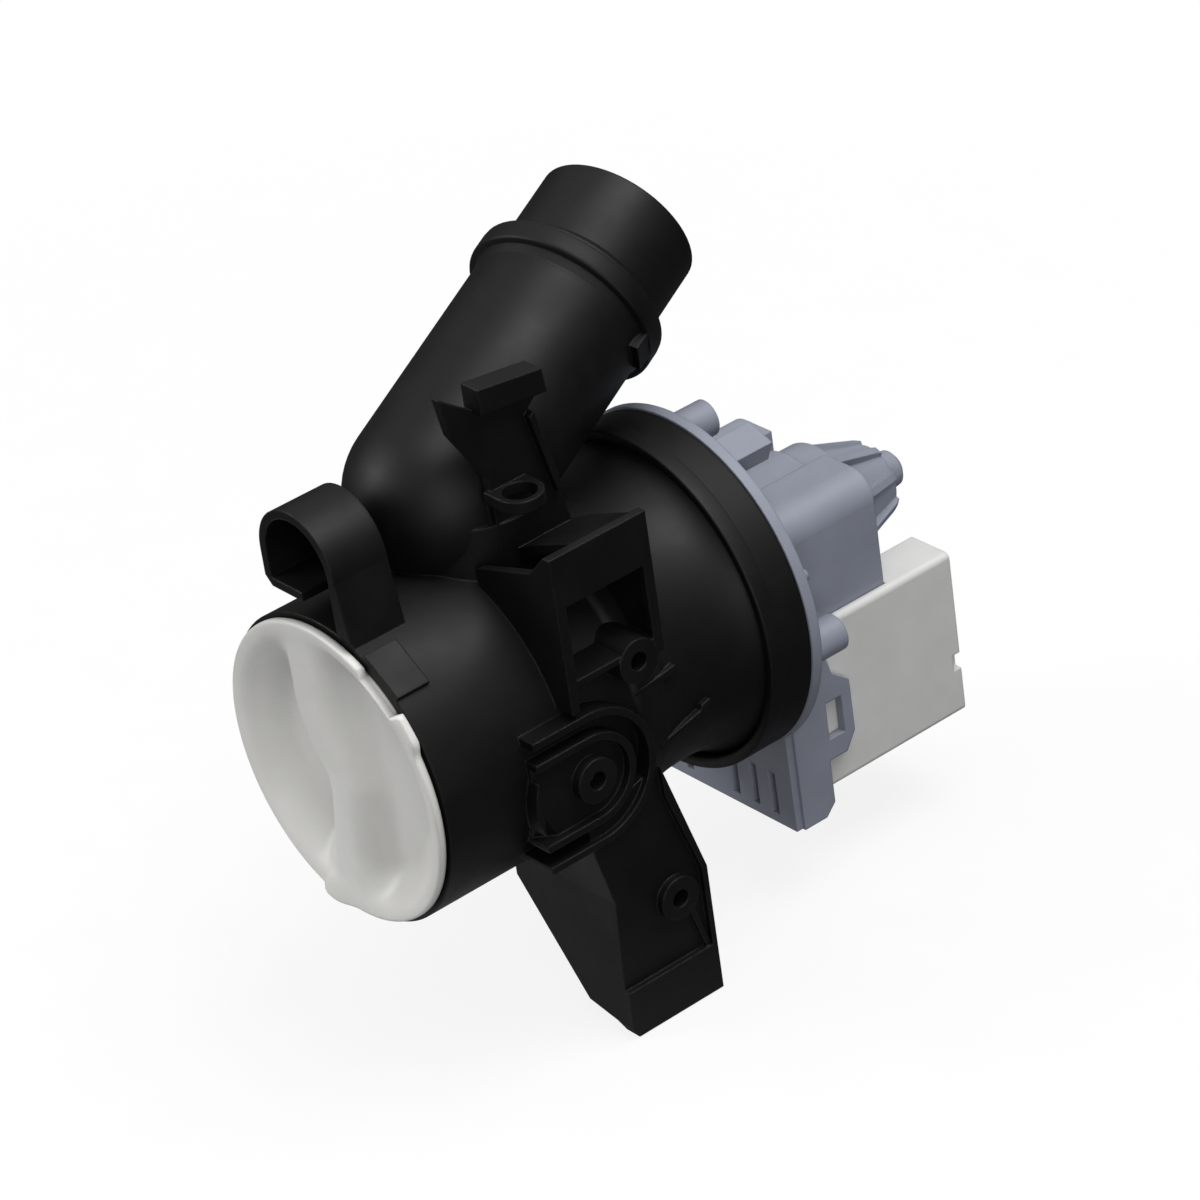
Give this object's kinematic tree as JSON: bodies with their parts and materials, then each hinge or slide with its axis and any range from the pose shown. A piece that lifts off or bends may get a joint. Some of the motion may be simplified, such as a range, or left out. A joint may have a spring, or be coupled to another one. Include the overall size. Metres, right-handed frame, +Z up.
{
  "type": "washer drain pump",
  "caption": "Drain pump with a filter chamber, turn-out filter, hose spigots, screw bracket and a flooded-rotor motor that drives a free-swinging impeller.",
  "frame": {"origin": "on the pump's axis, in the plane of the filter cap's front rim", "axes": "+Y runs along the pump's axis from the filter cap to the motor, +X points to the screw bracket, +Z points up to the inlet tube"},
  "size_m": [0.1059, 0.1733, 0.1742],
  "materials": {
    "black_moulding": "satin, lightly worn on the edges",
    "filter_white": "satin gloss",
    "basket_white": "matt",
    "seal_rubber": "matt",
    "impeller_plastic": "satin",
    "machined_steel": "turned",
    "magnet": "ground ferrite",
    "flange_grey": "satin",
    "bearing_carbon": "matt carbon",
    "lamination": "stamped sheets",
    "bobbin_cream": "satin",
    "copper_wire": "enamelled wire",
    "block_white": "satin",
    "cutout_black": "satin",
    "tinned_brass": "tinned"
  },
  "bodies": {
    "casing": {"pump_casing": "black_moulding", "motor_flange": "flange_grey", "flange_seal": "seal_rubber", "flange_screws": "machined_steel", "bearing_shield": "flange_grey", "shield_seal": "seal_rubber", "front_bearing": "bearing_carbon", "front_bearing_mount": "seal_rubber", "rear_bearing": "bearing_carbon", "rear_bearing_mount": "seal_rubber", "stator_core": "lamination", "coil_bobbins": "bobbin_cream", "coil_windings": "copper_wire", "stator_block": "block_white", "thermal_cutout": "cutout_black", "terminal_blades": "tinned_brass"},
    "rotor": {"rotor_shaft": "machined_steel", "rotor_magnet": "magnet", "magnet_core": "impeller_plastic", "thrust_washers": "machined_steel", "drive_dog": "machined_steel", "dog_cushion": "seal_rubber"},
    "impeller": {"impeller": "impeller_plastic", "hub_cap": "impeller_plastic"},
    "filter_carrier": {"cap_seal": "seal_rubber"},
    "filter": {"filter_cap": "filter_white", "filter_basket": "basket_white"}
  },
  "joints": [
    {"name": "rotor_spin", "type": "hinge", "parent": "casing", "child": "rotor", "pos_m": [0, 0.1, 0], "axis": [0, 1, 0], "continuous": true},
    {"name": "impeller_swing", "type": "hinge", "parent": "rotor", "child": "impeller", "pos_m": [0, 0.08, 0], "axis": [0, 1, 0], "range_deg": [-80, 80]},
    {"name": "filter_slide", "type": "slide", "parent": "casing", "child": "filter_carrier", "axis": [0, -1, 0], "range_m": [0, 0.07]},
    {"name": "filter_turn", "type": "hinge", "parent": "filter_carrier", "child": "filter", "pos_m": [0, 0, 0], "axis": [0, 1, 0], "range_deg": [0, 90]}
  ]
}
